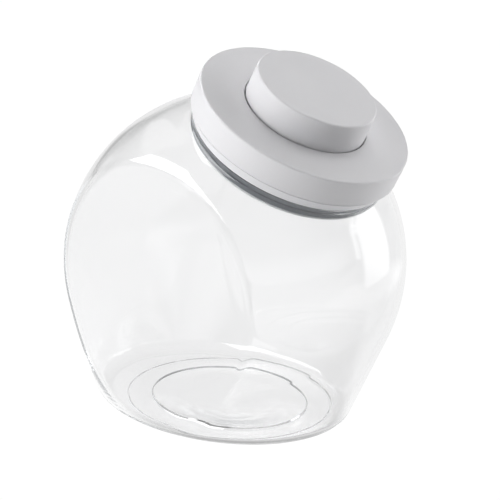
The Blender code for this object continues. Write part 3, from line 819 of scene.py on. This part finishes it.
# the room: pale near the horizon, greyer above, with a large soft light on the left whose far
# corner is cut off, a fainter one behind it, and a low wide one on the right
world_data = bpy.data.worlds.new("studio")
world_data.use_nodes = True
scene.world = world_data
wt = world_data.node_tree
wt.nodes.clear()
ws = Studio(wt)
aim = ws.node("ShaderNodeTexCoord").outputs["Generated"]
w_r, w_n = ws.along(aim, right), ws.along(aim, near)
w_z = ws.along(aim, (0, 0, 1))
w_az = ws.math("MULTIPLY", ws.math("ARCTAN2", w_r, w_n), 180 / math.pi)
w_el = ws.math("MULTIPLY", ws.math("ARCSINE", w_z), 180 / math.pi)
low_room = ws.rise(w_el, -30.0, 2.0, 0.40, 0.85)
high_room = ws.rise(w_el, 6.0, 20.0, 1.0, 0.42)
room = ws.math("MULTIPLY", low_room, high_room)


def screen(tree, side, edges, soft):
    """Share of a soft light on an upright plane to the left (-1) or right (+1): inside all
    the edges (a, b, c), where a*u + b*v < c, u runs towards the camera and v up."""
    depth = tree.math("MAXIMUM", tree.math("MULTIPLY", w_r, float(side)), 0.001)
    u, v = tree.math("DIVIDE", w_n, depth), tree.math("DIVIDE", w_z, depth)
    share = None
    for a, b, c in edges:
        size = math.hypot(a, b)
        d = tree.math("ADD", tree.math("MULTIPLY", u, a / size), tree.math("MULTIPLY", v, b / size))
        part = tree.rise(d, c / size - soft, c / size + soft, 1.0, 0.0)
        share = part if share is None else tree.math("MULTIPLY", share, part)
    return share


key = screen(ws, -1, [(-1, 0, 0.62), (-1.01, 1, 1.67), (0.47, 1, 2.11), (0.55, 1, 2.17), (-0.2, -1, -0.52), (0.33, -1, -0.44)], 0.03)
bar = screen(ws, -1, [(-1, 0, -0.33), (1, 0, 0.95), (-0.8, 1, 0.06), (0.8, -1, 0.16)], 0.03)
rear = screen(ws, -1, [(1, 0, -0.62), (-1, 0, 2.2), (0, -1, -0.9), (-0.6, 1, 2.6)], 0.08)
low = screen(ws, 1, [(1, 0, 0.06), (-1, 0, 0.66), (-0.25, 1, 0.265), (0, -1, 0.24)], 0.05)
gap = ws.math("MULTIPLY", ws.window(w_az, -60.0, -21.0, 4.0), ws.window(w_el, -26.0, 24.0, 4.0))
room = ws.math("MULTIPLY", room, ws.math("SUBTRACT", 1.0, ws.math("MULTIPLY", gap, 0.97)))
total = ws.math("MAXIMUM", room, ws.math("MULTIPLY", key, 4.4))
total = ws.math("MAXIMUM", total, ws.math("MULTIPLY", bar, 1.7))
total = ws.math("ADD", total, ws.math("MULTIPLY", rear, 0.35))
total = ws.math("MAXIMUM", total, ws.math("MULTIPLY", low, 2.5))
murk = ws.math("MULTIPLY", ws.window(w_az, -163.0, -147.0, 3.0), ws.window(w_el, -14.0, 20.0, 3.0))
total = ws.math("MULTIPLY", total, ws.math("SUBTRACT", 1.0, ws.math("MULTIPLY", murk, 0.45)))

# what lights the satin plastic, by height band and by twelfths of a turn (from behind, by the
# left, to the front and the right): lamps on the left and behind on the right, none in front
lamps = None
turn = ws.math("DIVIDE", ws.math("ADD", w_az, 180.0), 360.0)
for low_edge, high_edge, powers in (
        (-95, -25, (0, 0, 0, 0, 0.68, 3.66, 0, 0, 0, 0.13, 1.4, 0)),
        (-25, 0, (0, 0, 0, 0, 0, 0, 0, 0, 0, 3.31, 4.1, 0)),
        (0, 20, (0, 0, 0, 2.78, 12.16, 0, 0, 0, 0, 1.56, 5, 0)),
        (20, 38, (0, 0, 0, 6.58, 0, 0, 0, 0, 0, 0, 1.28, 3.65)),
        (38, 60, (4.64, 0.62, 0, 0, 0, 0, 0, 0, 2.19, 0, 0, 0)),
        (60, 95, (0, 0, 0, 0, 0, 0, 0, 1.66, 3.32, 4.98, 3.32, 1.66))):
    band = ws.node("ShaderNodeValToRGB", {"Fac": turn})
    stops = band.color_ramp.elements
    while len(stops) < 13:
        stops.new(0.5)
    for k in range(13):
        stops[k].position = k / 12
        stops[k].color = (*(powers[k % 12] / LAMP_TOP,) * 3, 1)
    part = ws.math("MULTIPLY", band.outputs["Color"], ws.window(w_el, low_edge, high_edge, 3.0))
    lamps = part if lamps is None else ws.math("ADD", lamps, part)
lamps = ws.math("MULTIPLY", lamps, LAMP_TOP)
w_path = ws.node("ShaderNodeLightPath")
w_seen = ws.node("ShaderNodeBackground", {"Color": (1, 1, 1, 1), "Strength": total})
w_lamp = ws.node("ShaderNodeBackground", {"Color": (1, 1, 1, 1), "Strength": lamps})
w_cam = ws.node("ShaderNodeBackground", {"Color": (1, 1, 1, 1), "Strength": 1.02})
w_bg = ws.node("ShaderNodeMixShader", {0: w_path.outputs["Is Diffuse Ray"], 1: w_seen.outputs[0], 2: w_lamp.outputs[0]})
w_mix = ws.node("ShaderNodeMixShader", {0: w_path.outputs["Is Camera Ray"], 1: w_bg.outputs[0], 2: w_cam.outputs[0]})
w_out = ws.node("ShaderNodeOutputWorld", {"Surface": w_mix.outputs[0]})
world_data.cycles.sampling_method = "NONE"

# the lower part of the light on the right: a panel that fades towards the table
panel_mat = Nodes("panel")
ps = Studio(panel_mat.tree)
place_on = panel_mat.add("NewGeometry").outputs["Position"]
height, reach = ps.along(place_on, (0, 0, 1)), ps.along(place_on, near)
bright = ps.math("MULTIPLY", ps.rise(height, 0.0, 0.12, 1.0, 1.65), ps.window(reach, -0.185, 0.055, 0.02))
panel_mat = panel_mat.surface(panel_mat.add("Emission", {
    "Color": (1, 1, 1, 1), "Strength": ps.math("ADD", bright, 0.85)}).outputs[0])
card("panel_right", spot(0.48, 0.075, 0.0), near * -0.28, (0, 0, 0.225), panel_mat)
